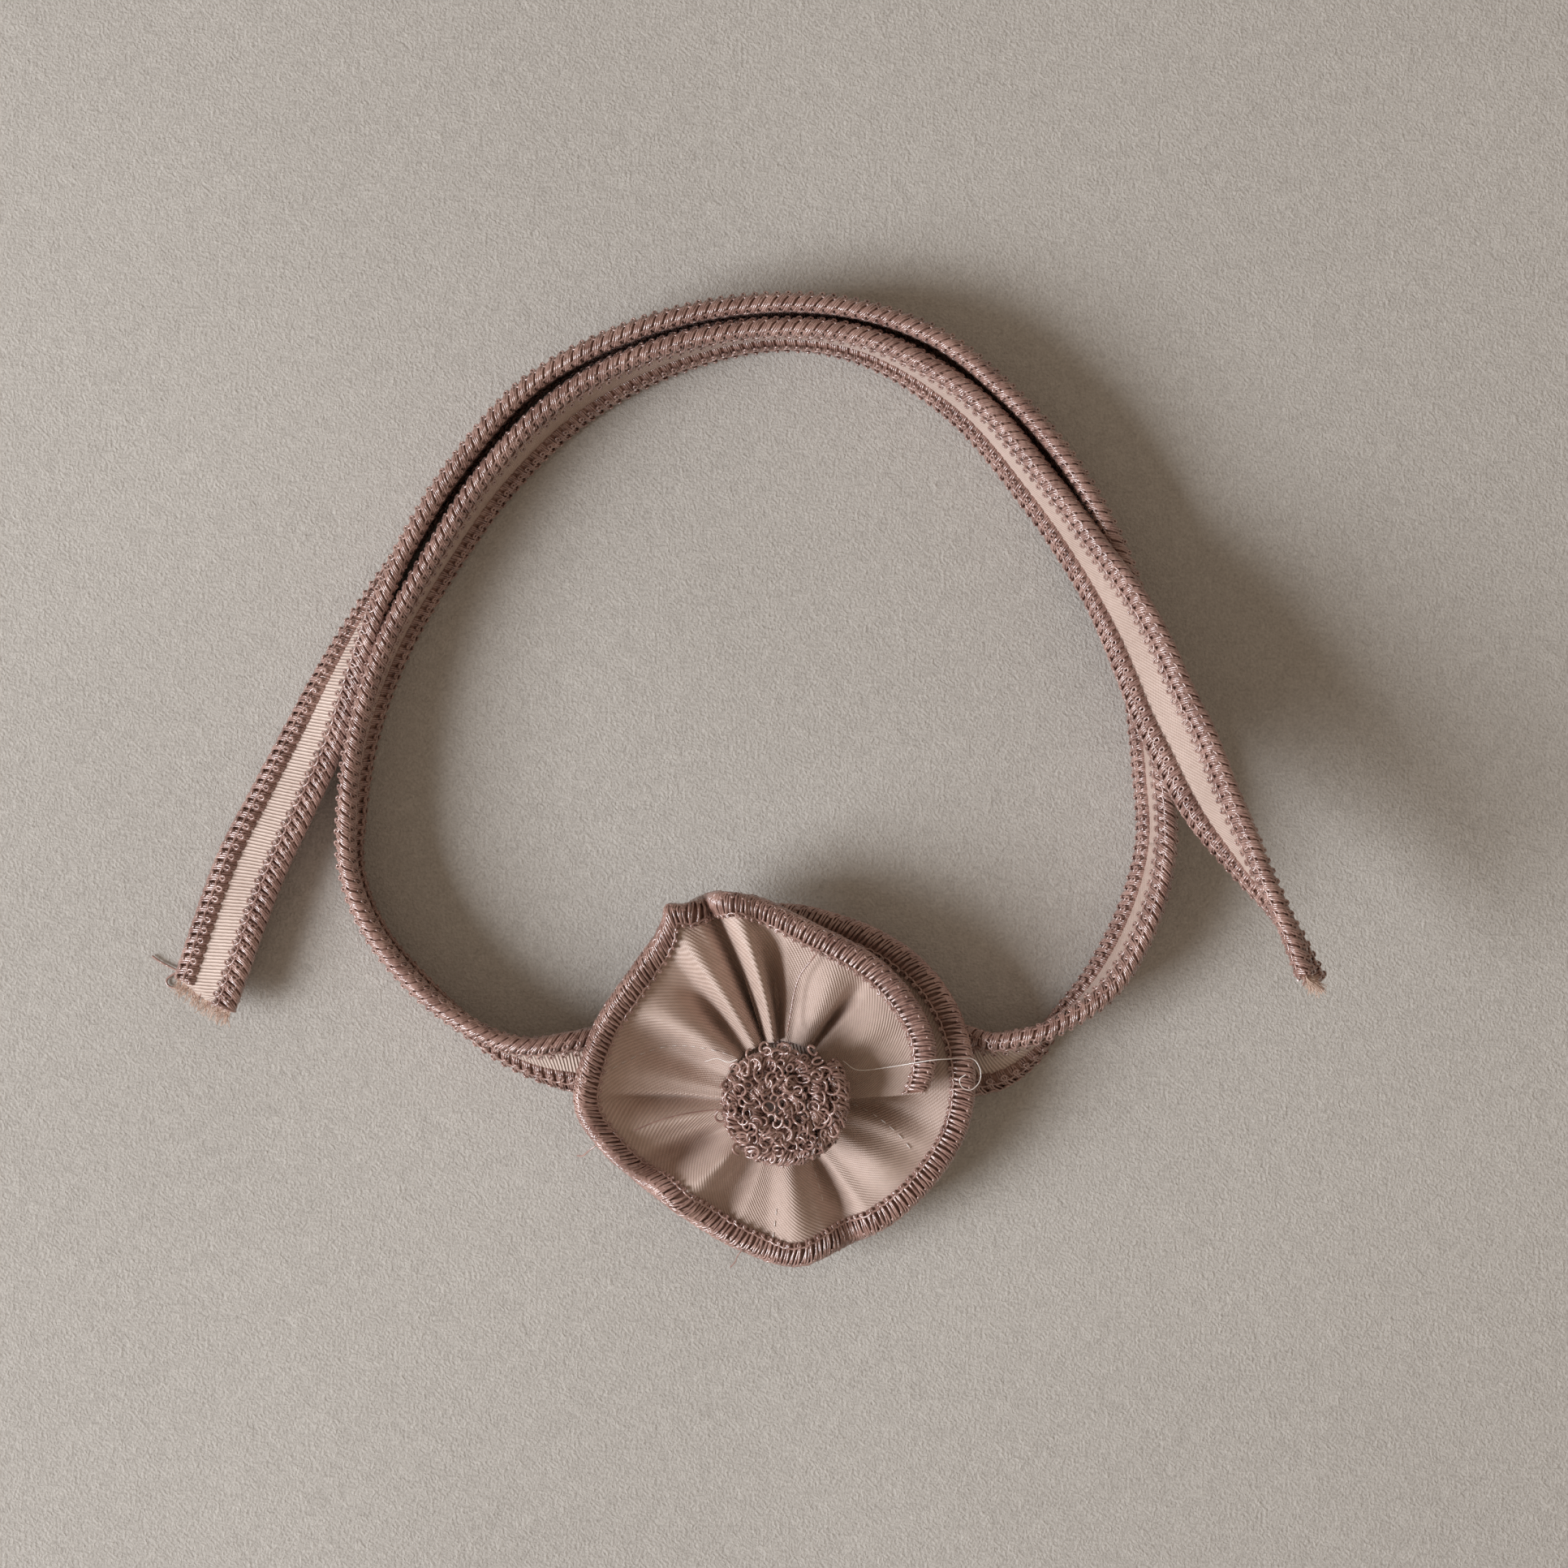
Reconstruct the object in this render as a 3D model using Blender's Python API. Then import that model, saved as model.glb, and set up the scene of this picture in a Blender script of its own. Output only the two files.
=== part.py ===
# Tie-back flower crown: one satin ribbon with overlocked edges, a gathered rosette sewn on its middle.
# Frame: metres, +Z up, origin on the underside of the felt, below the middle of the ribbon.
# The crown lies on a surface with its ribbon on edge; the loop lies toward +Y and the rosette faces up.
import math

import bmesh
import bpy
from mathutils import Matrix, Vector

MM = 0.001

# Ribbon and its overlocked edges
RIBBON_WIDTH = 11.0 * MM          # over both overlocked edges
SATIN_THICKNESS = 0.35 * MM
OVERLOCK_REACH = 3.0 * MM         # how far the stitching reaches in from the edge
OVERLOCK_THICKNESS = 2.2 * MM
OVERLOCK_WALL = 0.6 * MM          # stitching outside the satin's edge
CLEARANCE = 0.3 * MM              # between pieces that touch on the real crown
STATION_STEP = 4.0 * MM           # spacing of cross-sections along the arms and tails
CROWN_SHARE = 0.4                 # half-width of an overlocked edge's rounded crown, of its half-thickness
SHOULDER_SHARE = 0.7              # how far below the crown its full thickness starts, of its half-thickness
SOFTENED_SHARE = 0.2              # how far its inner line is sloped off, of its half-thickness

# Overall plan of the loop
LOOP_WIDTH = 110.0 * MM
LOOP_LENGTH = 103.0 * MM

# Joints
TAIL_GAP = 1.4 * MM               # open length of ribbon at each tail's bend
FLOWER_GAP = 0.8 * MM             # open length of ribbon each side of the rosette

# Rosette
FLOWER_RADIUS = 24.5 * MM         # mean radius of the ruffle's rim
RIM_AT_RIBBON = 1.06              # the rim's reach where the ribbon leaves, of its mean radius
FLOWER_OFFSET = -3.0 * MM         # the rosette's centre, in front of the ribbon's middle
RUFFLE_WAVE = 0.7 * MM            # rise and fall of the rim at each pleat
PLEATS = 16
STATIONS_PER_PLEAT = 4
BUD_RADIUS = 8.5 * MM
BUD_OFFSET = -4.7 * MM
BUD_WINDING_GAP = 1.2 * CLEARANCE
BUD_STATIONS_PER_TURN = 16
FELT_RADIUS = 14.0 * MM
FELT_THICKNESS = 1.2 * MM
FELT_SEGMENTS = 40
THREAD_RADIUS = 0.2 * MM

# Each route is drawn on a plan whose loop is 110 units wide and 103 long.
# A row is x, y, lift of the low edge as a share of the ribbon's width, and lean outward in degrees.
PLAN_HALF_WIDTH = 55.0
PLAN_LENGTH = 103.0
PLAN_START = 29.0                 # x where each arm leaves the rosette
PLAN_OVERLOCK = 2.2 * MM          # overlock thickness for which the two layers just clear each other
PLAN_WIDTH = 11.0 * MM            # ribbon width for which they do
ROUTE_STEPS = 12                  # dense rows between two rows of a route
CENTRE_STEPS = 3
CENTRE_LIFT = 0.08                # lift of the centre's low edge where it turns on edge

LEFT_ARM_ROUTE = [
    (-29.0, 0.0, 0.08, -46.0),
    (-34.2, 0.6, 0.02, -26.0),
    (-40.0, 3.0, 0.0, -12.0),
    (-47.9, 9.0, 0.0, -2.0),
    (-54.9, 17.0, 0.0, -2.0),
    (-58.5, 25.5, 0.0, -1.0),
    (-58.6, 34.1, 0.0, 3.0),
    (-57.0, 45.0, 0.0, 6.0),
    (-52.9, 56.9, 0.0, 10.0),
    (-46.0, 69.1, 0.0, 13.0),
    (-38.0, 80.5, 0.0, 18.0),
    (-27.5, 90.3, 0.0, 19.0),
    (-14.3, 96.7, 0.0, 12.0),
    (-0.2, 99.3, 0.0, 6.0),
    (12.9, 97.2, 0.0, 8.0),
    (25.6, 89.3, 0.0, 14.0),
    (35.4, 77.9, 0.02, 18.0),
    (42.4, 67.6, 0.24, 26.0),
    (47.3, 58.5, 0.64, 39.0),
    (51.4, 48.1, 1.0, 46.0),
    (53.5, 43.7, 1.1, 47.0),
]
RIGHT_TAIL_ROUTE = [
    (57.1, 35.5, 1.3, 36.0),
    (61.6, 27.6, 1.45, 14.0),
    (66.0, 20.2, 1.66, -6.0),
    (69.3, 12.4, 1.88, -15.0),
]
RIGHT_ARM_ROUTE = [
    (29.0, 0.0, 0.08, -48.0),
    (33.6, 2.0, 0.02, -26.0),
    (37.8, 5.2, 0.0, -2.0),
    (44.2, 11.3, 0.0, 16.0),
    (49.0, 20.3, 0.0, 18.0),
    (51.3, 29.8, 0.0, 15.0),
    (50.8, 39.5, 0.0, 14.0),
    (49.6, 50.5, 0.0, 12.0),
    (48.2, 60.7, 0.0, 7.0),
    (45.0, 70.5, 0.0, 4.0),
    (39.0, 81.1, 0.0, 3.0),
    (31.0, 90.3, 0.0, 3.0),
    (20.6, 98.6, 0.0, 1.0),
    (7.5, 102.8, 0.0, -1.0),
    (-6.8, 102.7, 0.0, -1.0),
    (-21.1, 99.0, 0.0, -1.0),
    (-34.3, 91.8, 0.0, -1.0),
    (-44.1, 80.7, 0.0, 0.0),
]
LEFT_TAIL_ROUTE = [
    (-50.6, 71.0, 0.0, -5.0),
    (-55.4, 62.8, 0.0, -17.0),
    (-59.9, 53.5, 0.0, -36.0),
    (-64.3, 43.8, 0.0, -54.0),
    (-68.8, 34.8, 0.0, -60.0),
    (-73.6, 24.9, 0.0, -65.0),
    (-79.4, 8.4, 0.0, -62.0),
]

# The ribbon's middle behind the rosette: share of the way to each arm, and lean in degrees.
CENTRE_ROUTE = [
    (-1.0, -50.0),
    (-0.82, -66.0),
    (-0.62, -86.0),
    (-0.4, -90.0),
    (0.4, -90.0),
    (0.62, -86.0),
    (0.82, -68.0),
    (1.0, -52.0),
]

# The rim of the ruffle, clockwise from its hidden start to its free end on top.
# A row is angle in degrees, radius as a share of the mean, height as a share of the ribbon's width.
RIM_ROUTE = [
    (85.0, 0.96, 0.62),
    (55.0, 1.0, 0.74),
    (19.0, 1.05, 0.90),
    (-9.0, 1.05, 0.90),
    (-34.0, 0.985, 0.76),
    (-84.0, 0.98, 0.70),
    (-118.0, 0.91, 0.72),
    (-155.0, 0.98, 0.92),
    (-175.0, 1.06, 1.05),
    (-192.0, 1.05, 1.05),
    (-214.0, 1.02, 0.98),
    (-240.0, 1.12, 1.03),
    (-268.0, 0.97, 1.16),
    (-287.0, 0.89, 1.22),
    (-345.0, 0.87, 1.22),
    (-362.0, 0.79, 1.18),
]

# Half-widths and heights that follow from the sizes above
HALF_WIDTH = RIBBON_WIDTH / 2
HALF_OVERLOCK = OVERLOCK_THICKNESS / 2
SATIN_HALF_WIDTH = HALF_WIDTH - OVERLOCK_WALL - CLEARANCE
SLOT_HALF = SATIN_THICKNESS / 2 + CLEARANCE
CENTRE_HEIGHT = FELT_THICKNESS + CLEARANCE + HALF_OVERLOCK
CENTRE_TOP = CENTRE_HEIGHT + HALF_OVERLOCK
GATHER_RADIUS = BUD_RADIUS + CLEARANCE + THREAD_RADIUS
GATHER_CLIMB = 2 * (SATIN_THICKNESS + 4 * CLEARANCE + 2 * THREAD_RADIUS)    # clears the layer below
ARM_START = FLOWER_RADIUS * RIM_AT_RIBBON + OVERLOCK_WALL + 4 * CLEARANCE + FLOWER_GAP


def clear_scene():
    for thing in list(bpy.data.objects):
        bpy.data.objects.remove(thing, do_unlink=True)


def make_material(name, colour, roughness, sheen=0.0):
    material = bpy.data.materials.new(name)
    material.use_nodes = True
    shader = material.node_tree.nodes["Principled BSDF"]
    shader.inputs["Base Color"].default_value = (*colour, 1.0)
    shader.inputs["Roughness"].default_value = roughness
    shader.inputs["Metallic"].default_value = 0.0
    shader.inputs["Sheen Weight"].default_value = sheen
    return material


def catmull_rom(a, b, c, d, t):
    """Point between rows b and c of a smooth curve."""
    result = []
    for p0, p1, p2, p3 in zip(a, b, c, d):
        result.append(0.5 * (2 * p1 + (p2 - p0) * t + (2 * p0 - 5 * p1 + 4 * p2 - p3) * t ** 2
                             + (3 * p1 - p0 - 3 * p2 + p3) * t ** 3))
    return result


def smooth_rows(rows, steps=ROUTE_STEPS):
    """Dense rows along a smooth curve through the given rows."""
    first = [2 * p - q for p, q in zip(rows[0], rows[1])]
    last = [2 * p - q for p, q in zip(rows[-1], rows[-2])]
    padded = [first] + [list(row) for row in rows] + [last]
    dense = []
    for i in range(1, len(padded) - 2):
        for step in range(steps):
            dense.append(catmull_rom(padded[i - 1], padded[i], padded[i + 1], padded[i + 2], step / steps))
    dense.append(list(rows[-1]))
    return dense


def edge_support(lean):
    """Height of the ribbon's middle above its lowest point at this lean."""
    c, s = abs(math.cos(lean)), abs(math.sin(lean))
    crown = HALF_WIDTH * c + CROWN_SHARE * HALF_OVERLOCK * s
    shoulder = (HALF_WIDTH - SHOULDER_SHARE * HALF_OVERLOCK) * c + HALF_OVERLOCK * s
    return max(crown, shoulder)


def plan_point(x, y):
    """Plan units to metres: the arms' start follows the rosette, the rest follows the loop's size."""
    inner = ARM_START / PLAN_START
    outer = (LOOP_WIDTH / 2 - ARM_START) / (PLAN_HALF_WIDTH - PLAN_START)
    reach = min(abs(x), PLAN_START) * inner + max(abs(x) - PLAN_START, 0.0) * outer
    return math.copysign(reach, x), y * LOOP_LENGTH / PLAN_LENGTH


def outer_layer_shift(x, y, lean):
    """Outward shift that keeps the outer layer clear of the inner one when the ribbon gets thicker or wider."""
    ramp = min(max(2 * y / LOOP_LENGTH, 0.0), 1.0)
    thicker = OVERLOCK_THICKNESS - PLAN_OVERLOCK
    wider = max(RIBBON_WIDTH - PLAN_WIDTH, 0.0) * max(math.sin(-lean), 0.0)
    outward = Vector((x, y - LOOP_LENGTH / 2, 0.0)).normalized()
    return outward * (thicker + wider) * ramp


def ribbon_stations(rows, side):
    """Smooth route of a ribbon that stands on edge: its points, leans, lengths and side.

    side is +1 where outward lies to the left of travel and -1 where it lies to the right.
    The ribbon on the -1 side is the outer layer where the two lie together.
    """
    points, leans = [], []
    for x, y, lift, lean_degrees in smooth_rows(rows):
        lean = math.radians(lean_degrees)
        px, py = plan_point(x, y)
        point = Vector((px, py, lift * RIBBON_WIDTH + edge_support(lean)))
        if side < 0:
            point += outer_layer_shift(px, py, lean)
        points.append(point)
        leans.append(lean)
    lengths = [0.0]
    for a, b in zip(points, points[1:]):
        lengths.append(lengths[-1] + (b - a).length)
    return points, leans, lengths, side


def frame_at(curve, s):
    """Frame of the ribbon at length s along its curve."""
    points, leans, lengths, side = curve
    i = 0
    while i < len(lengths) - 2 and lengths[i + 1] < s:
        i += 1
    t = (s - lengths[i]) / (lengths[i + 1] - lengths[i])
    middle = points[i].lerp(points[i + 1], t)
    lean = leans[i] + (leans[i + 1] - leans[i]) * t
    before = points[max(i - 2, 0)]
    after = points[min(i + 3, len(points) - 1)]
    tangent = (after - before).normalized()
    if s < STATION_STEP / 2:
        tangent = Vector((math.copysign(1.0, tangent.x), 0.0, 0.0))
    outward = Vector((-tangent.y, tangent.x, 0.0)).normalized() * side
    up = tangent.cross(outward) * side
    if up.z < 0:
        up = -up
    across = up * math.cos(lean) + outward * math.sin(lean)
    normal = outward * math.cos(lean) - up * math.sin(lean)
    return middle, across, normal


def frames_between(curve, start, end):
    count = max(2, round((end - start) / STATION_STEP) + 1)
    return [frame_at(curve, start + (end - start) * i / (count - 1)) for i in range(count)]


def satin_section():
    """Flat strip whose edges sit inside the overlocked edges."""
    half = SATIN_THICKNESS / 2
    places = [-SATIN_HALF_WIDTH, OVERLOCK_REACH - HALF_WIDTH, HALF_WIDTH - OVERLOCK_REACH, SATIN_HALF_WIDTH]
    return [(u, -half) for u in places] + [(u, half) for u in reversed(places)]


def overlock_section(edge):
    """Channel of stitching wrapped round one edge of the ribbon: edge is +1 or -1."""
    inner = HALF_WIDTH - OVERLOCK_REACH
    slot_end = HALF_WIDTH - OVERLOCK_WALL
    shoulder = HALF_WIDTH - SHOULDER_SHARE * HALF_OVERLOCK
    crown = CROWN_SHARE * HALF_OVERLOCK
    softened = inner + SOFTENED_SHARE * HALF_OVERLOCK
    upper = [(inner, SLOT_HALF), (softened, HALF_OVERLOCK), (shoulder, HALF_OVERLOCK), (HALF_WIDTH, crown)]
    lower = [(u, -v) for u, v in reversed(upper)]
    return [(edge * u, v) for u, v in upper + lower + [(slot_end, -SLOT_HALF), (slot_end, SLOT_HALF)]]


def round_section(radius, sides=6):
    return [(radius * math.cos(2 * math.pi * i / sides), radius * math.sin(2 * math.pi * i / sides))
            for i in range(sides)]


def sweep(name, frames, section, material):
    """Closed solid of one section carried through the frames."""
    mesh = bmesh.new()
    rings = []
    for middle, across, normal in frames:
        rings.append([mesh.verts.new(middle + across * u + normal * v) for u, v in section])
    count = len(section)
    for a, b in zip(rings, rings[1:]):
        for i in range(count):
            j = (i + 1) % count
            mesh.faces.new((a[i], a[j], b[j], b[i]))
    ends = [mesh.faces.new(rings[0]), mesh.faces.new(list(reversed(rings[-1])))]
    bmesh.ops.triangulate(mesh, faces=ends)
    bmesh.ops.recalc_face_normals(mesh, faces=mesh.faces)
    return finish(name, mesh, material)


def finish(name, mesh, material, angle=40.0):
    data = bpy.data.meshes.new(name)
    mesh.to_mesh(data)
    mesh.free()
    data.shade_smooth()
    data.set_sharp_from_angle(angle=math.radians(angle))
    data.materials.append(material)
    piece = bpy.data.objects.new(name, data)
    bpy.context.collection.objects.link(piece)
    return piece


def put_origin(piece, point):
    """Move a piece's origin to a joint without moving the piece."""
    piece.data.transform(Matrix.Translation(-point))
    piece.location = point


def build_arm(side_name, tail_name, arm_route, tail_route, side, satin, thread):
    """One half of the ribbon: its arm round the loop and the tail it ends in."""
    curve = ribbon_stations(arm_route + tail_route, side)
    lengths = curve[2]
    bend = lengths[(len(arm_route) - 1) * ROUTE_STEPS]
    arm_frames = frames_between(curve, 0.0, bend - TAIL_GAP / 2)
    tail_frames = frames_between(curve, bend + TAIL_GAP / 2, lengths[-1])
    hinge = frame_at(curve, bend)[0]
    for prefix, frames in ((side_name + "_arm", arm_frames), (tail_name + "_tail", tail_frames)):
        pieces = [
            sweep(prefix + "_ribbon", frames, satin_section(), satin),
            sweep(prefix + "_upper_overlock", frames, overlock_section(1), thread),
            sweep(prefix + "_lower_overlock", frames, overlock_section(-1), thread),
        ]
        if prefix.endswith("_tail"):
            for piece in pieces:
                put_origin(piece, hinge)


def centre_frames():
    """The ribbon's middle, flat on the felt and turning on edge toward each arm."""
    end = ARM_START - FLOWER_GAP
    frames = []
    for share, lean_degrees in smooth_rows(CENTRE_ROUTE, CENTRE_STEPS):
        lean = math.radians(lean_degrees)
        height = max(CENTRE_HEIGHT, edge_support(lean) + CENTRE_LIFT * RIBBON_WIDTH)
        across = Vector((0.0, -math.sin(lean), math.cos(lean)))
        normal = Vector((0.0, -math.cos(lean), -math.sin(lean)))
        frames.append((Vector((share * end, 0.0, height)), across, normal))
    return frames


def build_centre(satin, thread):
    frames = centre_frames()
    return [
        sweep("centre_ribbon", frames, satin_section(), satin),
        sweep("centre_back_overlock", frames, overlock_section(1), thread),
        sweep("centre_front_overlock", frames, overlock_section(-1), thread),
    ]


def ruffle_edges():
    """Points along the ruffle's gathered edge and along its rim."""
    first, last = RIM_ROUTE[0][0], RIM_ROUTE[-1][0]
    rows = smooth_rows(RIM_ROUTE)
    total = PLEATS * STATIONS_PER_PLEAT
    gathers, rims = [], []
    for i in range(total + 1):
        angle = first + (last - first) * i / total
        k = next((k for k in range(len(rows) - 2) if rows[k + 1][0] <= angle), len(rows) - 2)
        t = (angle - rows[k][0]) / (rows[k + 1][0] - rows[k][0])
        radius = (rows[k][1] + (rows[k + 1][1] - rows[k][1]) * t) * FLOWER_RADIUS
        height = (rows[k][2] + (rows[k + 1][2] - rows[k][2]) * t) * RIBBON_WIDTH
        height += RUFFLE_WAVE * math.sin(2 * math.pi * i / STATIONS_PER_PLEAT)
        direction = Vector((math.cos(math.radians(angle)), math.sin(math.radians(angle)), 0.0))
        rise = CENTRE_TOP + SLOT_HALF + GATHER_CLIMB * i / total
        gathers.append(Vector((0.0, BUD_OFFSET, rise)) + direction * GATHER_RADIUS)
        rims.append(Vector((0.0, FLOWER_OFFSET, height)) + direction * (radius - HALF_OVERLOCK))
    return gathers, rims


def build_ruffle(satin, thread, sewing):
    gathers, rims = ruffle_edges()
    strip = bmesh.new()
    rings = []
    edge_frames = []
    thread_frames = []
    for i, (gather, rim) in enumerate(zip(gathers, rims)):
        across = (rim - gather).normalized()
        before, after = rims[max(i - 1, 0)], rims[min(i + 1, len(rims) - 1)]
        tangent = (after - before).normalized()
        normal = across.cross(tangent).normalized()
        if normal.z < 0:
            normal = -normal
        half = normal * SATIN_THICKNESS / 2
        level = Vector((0.0, 0.0, SATIN_THICKNESS / 2))
        outer = rim + across * (SATIN_HALF_WIDTH - HALF_WIDTH + HALF_OVERLOCK)
        corners = (gather - level, outer - half, outer + half, gather + level)
        rings.append([strip.verts.new(corner) for corner in corners])
        edge_frames.append((rim + across * (HALF_OVERLOCK - HALF_WIDTH), across, normal))
        above = SATIN_THICKNESS / 2 + CLEARANCE + THREAD_RADIUS
        start = gather + across * (2 * CLEARANCE)
        thread_frames.append((start + normal * (above + CLEARANCE), across, normal))
    for a, b in zip(rings, rings[1:]):
        for i in range(4):
            j = (i + 1) % 4
            strip.faces.new((a[i], a[j], b[j], b[i]))
    strip.faces.new(rings[0])
    strip.faces.new(list(reversed(rings[-1])))
    bmesh.ops.triangulate(strip, faces=strip.faces)
    bmesh.ops.recalc_face_normals(strip, faces=strip.faces)
    return [
        finish("ruffle_ribbon", strip, satin),
        sweep("ruffle_overlock", edge_frames, overlock_section(1), thread),
        sweep("gathering_thread", thread_frames[::2], round_section(THREAD_RADIUS), sewing),
    ]


def bud_frames():
    """Frames up the coiled bud: the ribbon stands on edge and winds in."""
    pitch = OVERLOCK_THICKNESS + BUD_WINDING_GAP
    outer = BUD_RADIUS - HALF_OVERLOCK
    inner = HALF_OVERLOCK + 2 * CLEARANCE
    turns = (outer - inner) / pitch
    count = round(turns * BUD_STATIONS_PER_TURN)
    height = CENTRE_TOP + CLEARANCE + HALF_WIDTH
    frames = []
    for i in range(count + 1):
        angle = -2 * math.pi * i / BUD_STATIONS_PER_TURN
        radius = outer - pitch * i / BUD_STATIONS_PER_TURN
        direction = Vector((math.cos(angle), math.sin(angle), 0.0))
        middle = Vector((0.0, BUD_OFFSET, height)) + direction * radius
        frames.append((middle, Vector((0.0, 0.0, 1.0)), direction))
    return frames


def build_bud(satin, thread):
    frames = bud_frames()
    return [
        sweep("bud_ribbon", frames, satin_section(), satin),
        sweep("bud_overlock", frames, overlock_section(1), thread),
    ]


def build_felt(felt):
    disc = bmesh.new()
    bmesh.ops.create_cone(disc, cap_ends=True, segments=FELT_SEGMENTS, radius1=FELT_RADIUS,
                          radius2=FELT_RADIUS, depth=FELT_THICKNESS)
    bmesh.ops.translate(disc, verts=disc.verts, vec=(0.0, FLOWER_OFFSET, FELT_THICKNESS / 2))
    return finish("felt_backing", disc, felt)


def main():
    clear_scene()
    satin = make_material("satin", (0.42, 0.27, 0.22), 0.35, sheen=0.3)
    thread = make_material("overlock_thread", (0.20, 0.12, 0.10), 0.3)
    felt = make_material("felt", (0.55, 0.43, 0.38), 0.9, sheen=0.2)
    sewing = make_material("sewing_thread", (0.33, 0.24, 0.22), 0.4)
    build_arm("left", "right", LEFT_ARM_ROUTE, RIGHT_TAIL_ROUTE, 1, satin, thread)
    build_arm("right", "left", RIGHT_ARM_ROUTE, LEFT_TAIL_ROUTE, -1, satin, thread)
    axis = Vector((0.0, 0.0, CENTRE_HEIGHT))
    rosette = build_centre(satin, thread) + build_ruffle(satin, thread, sewing) + build_bud(satin, thread)
    rosette.append(build_felt(felt))
    for piece in rosette:
        put_origin(piece, axis)


main()
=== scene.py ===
import math

import bpy
import numpy as np
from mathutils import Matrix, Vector


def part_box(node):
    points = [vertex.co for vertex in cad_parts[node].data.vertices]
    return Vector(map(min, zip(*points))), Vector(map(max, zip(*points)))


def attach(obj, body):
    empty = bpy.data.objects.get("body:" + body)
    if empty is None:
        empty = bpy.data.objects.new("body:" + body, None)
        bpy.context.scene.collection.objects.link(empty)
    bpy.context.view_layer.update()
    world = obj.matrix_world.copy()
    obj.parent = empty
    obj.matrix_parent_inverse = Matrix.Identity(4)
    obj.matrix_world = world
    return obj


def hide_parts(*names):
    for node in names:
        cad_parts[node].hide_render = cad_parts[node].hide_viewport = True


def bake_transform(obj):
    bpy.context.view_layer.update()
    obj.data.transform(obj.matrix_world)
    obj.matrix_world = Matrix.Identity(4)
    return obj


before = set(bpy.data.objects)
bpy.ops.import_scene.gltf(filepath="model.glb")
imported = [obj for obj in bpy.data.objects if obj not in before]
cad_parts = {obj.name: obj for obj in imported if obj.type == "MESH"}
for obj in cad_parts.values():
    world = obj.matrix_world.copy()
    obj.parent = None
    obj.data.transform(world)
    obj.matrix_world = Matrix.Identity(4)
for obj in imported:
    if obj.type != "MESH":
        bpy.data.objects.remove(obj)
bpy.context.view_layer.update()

mm = 0.001
ribbonWidth = 11.0 * mm          # over both overlocked edges
halfWidth = ribbonWidth / 2
flowerPlace = Vector((0.0, -3.0 * mm, 0.0))
budPlace = Vector((0.0, -4.7 * mm, 0.0))
lowest = 0.17 * mm               # how near the table a thread's middle comes


waveUnit = math.pi / 10          # the Wave texture's own period at a scale of 1


class Value:
    # one output of a node; sums and products of it add their own Math nodes
    def __init__(self, graph, socket):
        self.graph = graph
        self.socket = socket

    def maths(self, operation, first, second):
        return self.graph.node("ShaderNodeMath", {"operation": operation}, {0: first, 1: second})

    def __add__(self, other):
        return self.maths("ADD", self, other)

    def __radd__(self, other):
        return self.maths("ADD", other, self)

    def __mul__(self, other):
        return self.maths("MULTIPLY", self, other)

    def __rmul__(self, other):
        return self.maths("MULTIPLY", other, self)


class Graph:
    # the node tree of one material
    def __init__(self, name):
        self.material = bpy.data.materials.new(name)
        self.material.use_nodes = True
        self.tree = self.material.node_tree
        self.shader = self.tree.nodes["Principled BSDF"]

    def node(self, kind, settings=None, inputs=None, output=0):
        made = self.tree.nodes.new(kind)
        for key, value in (settings or {}).items():
            if key == "stops":
                ramp = made.color_ramp
                while len(ramp.elements) < len(value):
                    ramp.elements.new(0.5)
                for element, (place, colour) in zip(ramp.elements, value):
                    element.position = place
                    element.color = (*colour, 1.0)
            else:
                setattr(made, key, value)
        for key, value in (inputs or {}).items():
            self.feed(made.inputs[key], value)
        return Value(self, made.outputs[output])

    def feed(self, socket, value):
        if isinstance(value, Value):
            self.tree.links.new(value.socket, socket)
        elif isinstance(value, tuple) and len(value) == 3 and socket.type == "RGBA":
            socket.default_value = (*value, 1.0)
        else:
            socket.default_value = value

    def onPiece(self):
        return self.node("ShaderNodeTexCoord", output=3)     # Object coordinates

    def noise(self, where, scale, detail, distortion=0.0):
        return self.node("ShaderNodeTexNoise", {}, {"Vector": where, "Scale": scale, "Detail": detail,
                                                    "Distortion": distortion})

    def bands(self, where, direction, pitch, waver):
        return self.node("ShaderNodeTexWave", {"wave_type": "BANDS", "bands_direction": direction},
                         {"Vector": where, "Scale": waveUnit / pitch, "Distortion": waver, "Detail": 1.0,
                          "Detail Scale": 2.0})

    def ramp(self, look, shade):
        stops = list(zip(look["ramp"], (look["deep"], look["pale"])))
        return self.node("ShaderNodeValToRGB", {"stops": stops}, {0: shade})

    def bump(self, height, distance):
        return self.node("ShaderNodeBump", {}, {"Height": height, "Distance": distance, "Strength": 1.0})

    def surface(self, **values):
        for key, value in values.items():
            self.feed(self.shader.inputs[key.replace("_", " ")], value)
        return self.material


sheenRoughness = 0.4             # of every cloth and thread but the felt


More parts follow.
